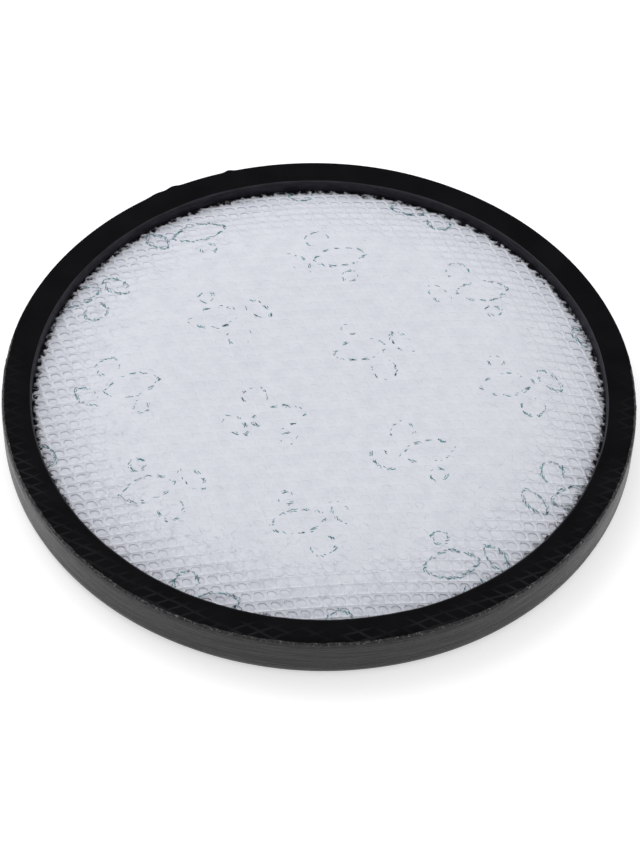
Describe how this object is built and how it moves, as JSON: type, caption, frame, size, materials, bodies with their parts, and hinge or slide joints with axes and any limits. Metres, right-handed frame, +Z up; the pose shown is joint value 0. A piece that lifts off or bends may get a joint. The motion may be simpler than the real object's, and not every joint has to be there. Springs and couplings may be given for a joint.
{
  "type": "vacuum filter",
  "caption": "Round flat vacuum filter: a swollen white felt pad with printed sprigs between two slanted-cell nets, held at its edge in a flexible black rim.",
  "frame": {"origin": "centre of the rim's foot, on the surface that the filter lies on", "axes": "+Z up along the rim's axis, towards the front net with its printed pad; +X along the printed face, at a small angle to the raised strands"},
  "size_m": [0.15, 0.15, 0.0138],
  "materials": {
    "cast_rim": "matt",
    "net": "matt",
    "felt": "matt",
    "ink": "matt"
  },
  "bodies": {
    "root": {"rim": "cast_rim", "front_net": "net", "filter_pad": "felt", "back_net": "net", "printed_sprigs": "ink"}
  },
  "joints": []
}
